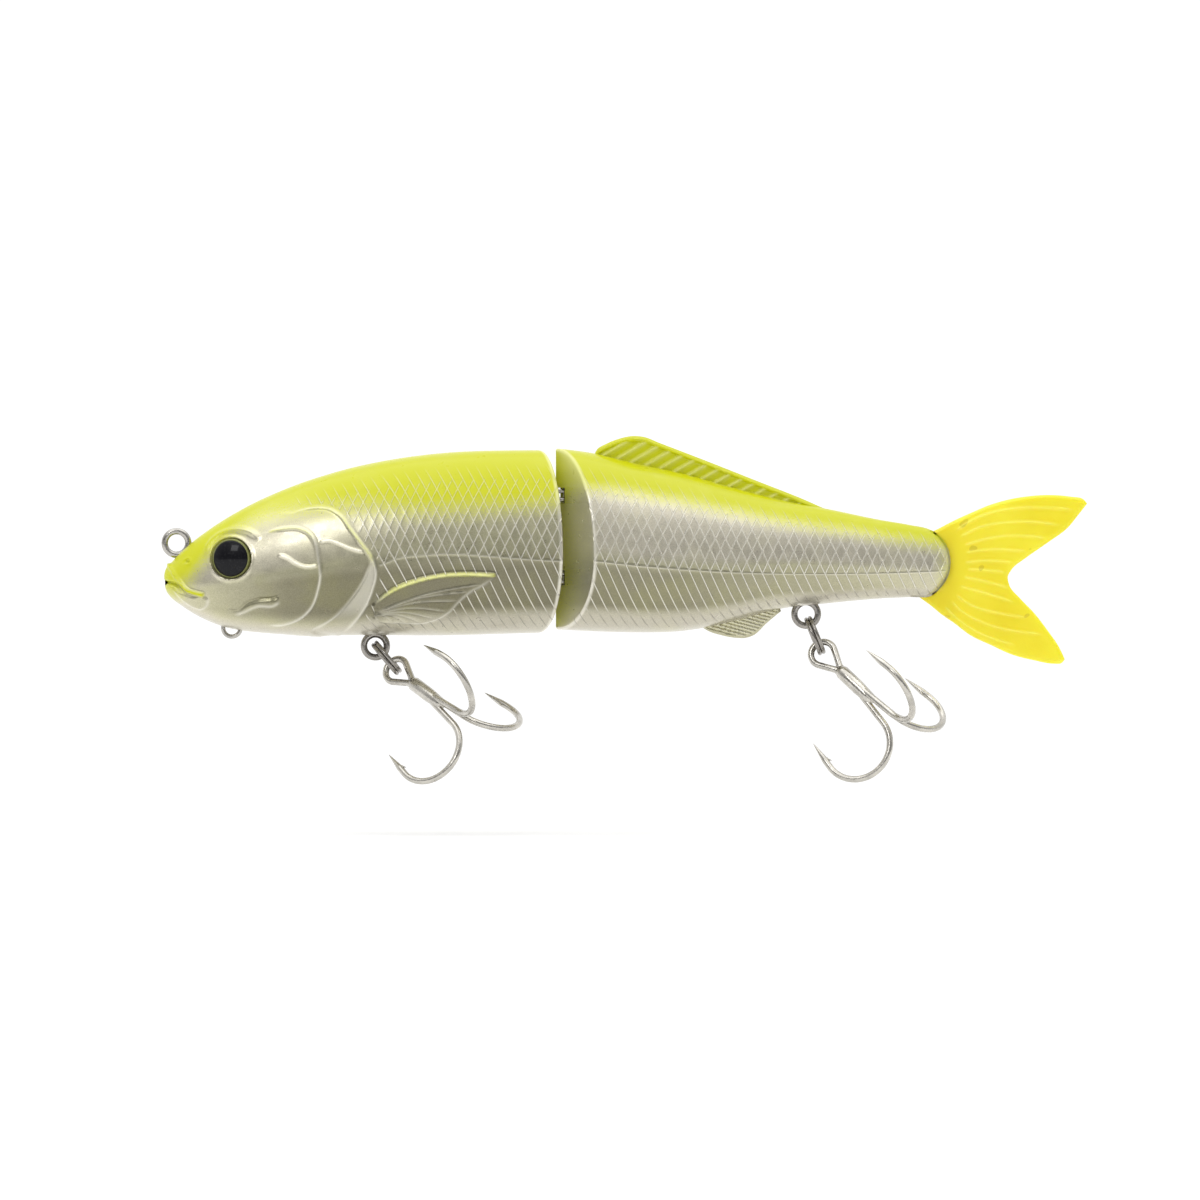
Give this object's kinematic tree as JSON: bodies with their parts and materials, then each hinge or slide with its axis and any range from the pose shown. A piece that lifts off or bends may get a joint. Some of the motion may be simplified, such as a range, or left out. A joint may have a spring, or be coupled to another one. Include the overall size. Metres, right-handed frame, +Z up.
{
  "type": "jointed hard-bodied fishing lure",
  "caption": "Two-section jointed fish-shaped lure with moulded shells, hinge pin, soft forked tail and treble hooks on split rings.",
  "frame": {"origin": "centre of the line tie ring at the nose", "axes": "+X along the body towards the tail, +Z up through the back, -Y the fish's left side"},
  "size_m": [0.1658, 0.0323, 0.0622],
  "materials": {
    "painted_shell": "gloss clear coat over yellow back and pearl silver flanks",
    "eye": "gloss black dome",
    "soft_tail": "translucent soft yellow",
    "ballast": "plain turned",
    "hook": "bright tin plate",
    "split_ring": "nickel plate",
    "wire": "stainless wire"
  },
  "bodies": {
    "front_section": {"front_shell_left": "painted_shell", "front_shell_right": "painted_shell", "eye_left": "eye", "eye_right": "eye", "line_tie": "wire", "chin_loop": "wire", "front_hanger": "wire", "hinge_eye_upper_a": "wire", "hinge_eye_upper_b": "wire", "hinge_eye_lower_a": "wire", "hinge_eye_lower_b": "wire", "front_ballast": "ballast"},
    "rear_section": {"rear_shell_left": "painted_shell", "rear_shell_right": "painted_shell", "hinge_pin": "wire", "rear_hanger": "wire", "rear_ballast": "ballast", "tail_pin": "wire", "tail_tab": "soft_tail"},
    "tail": {"tail_fin": "soft_tail"},
    "front_ring": {"front_split_ring": "split_ring"},
    "front_hook": {"front_treble": "hook"},
    "rear_ring": {"rear_split_ring": "split_ring"},
    "rear_hook": {"rear_treble": "hook"}
  },
  "joints": [
    {"name": "body_hinge", "type": "hinge", "parent": "front_section", "child": "rear_section", "pos_m": [0.0693, 0, 0], "axis": [0, 0, 1], "range_deg": [-22, 22]},
    {"name": "tail_flex", "type": "hinge", "parent": "rear_section", "child": "tail", "pos_m": [0.1362, 0, -0.004], "axis": [0, 0, 1], "range_deg": [-14, 14], "stiffness_Nm_per_rad": 0.0008},
    {"name": "front_ring_swing", "type": "hinge", "parent": "front_section", "child": "front_ring", "pos_m": [0.0355, 0, -0.01805], "axis": [0.766, 0, 0.6428], "range_deg": [-25, 25]},
    {"name": "front_hook_swing", "type": "hinge", "parent": "front_ring", "child": "front_hook", "pos_m": [0.03972, 0, -0.02307], "axis": [0, 1, 0], "range_deg": [0, 50]},
    {"name": "rear_ring_swing", "type": "hinge", "parent": "rear_section", "child": "rear_ring", "pos_m": [0.11349, 0, -0.01465], "axis": [0.9272, 0, 0.3746], "range_deg": [-30, 30]},
    {"name": "rear_hook_swing", "type": "hinge", "parent": "rear_ring", "child": "rear_hook", "pos_m": [0.1155, 0, -0.01962], "axis": [0, 1, 0], "range_deg": [0, 50]}
  ]
}
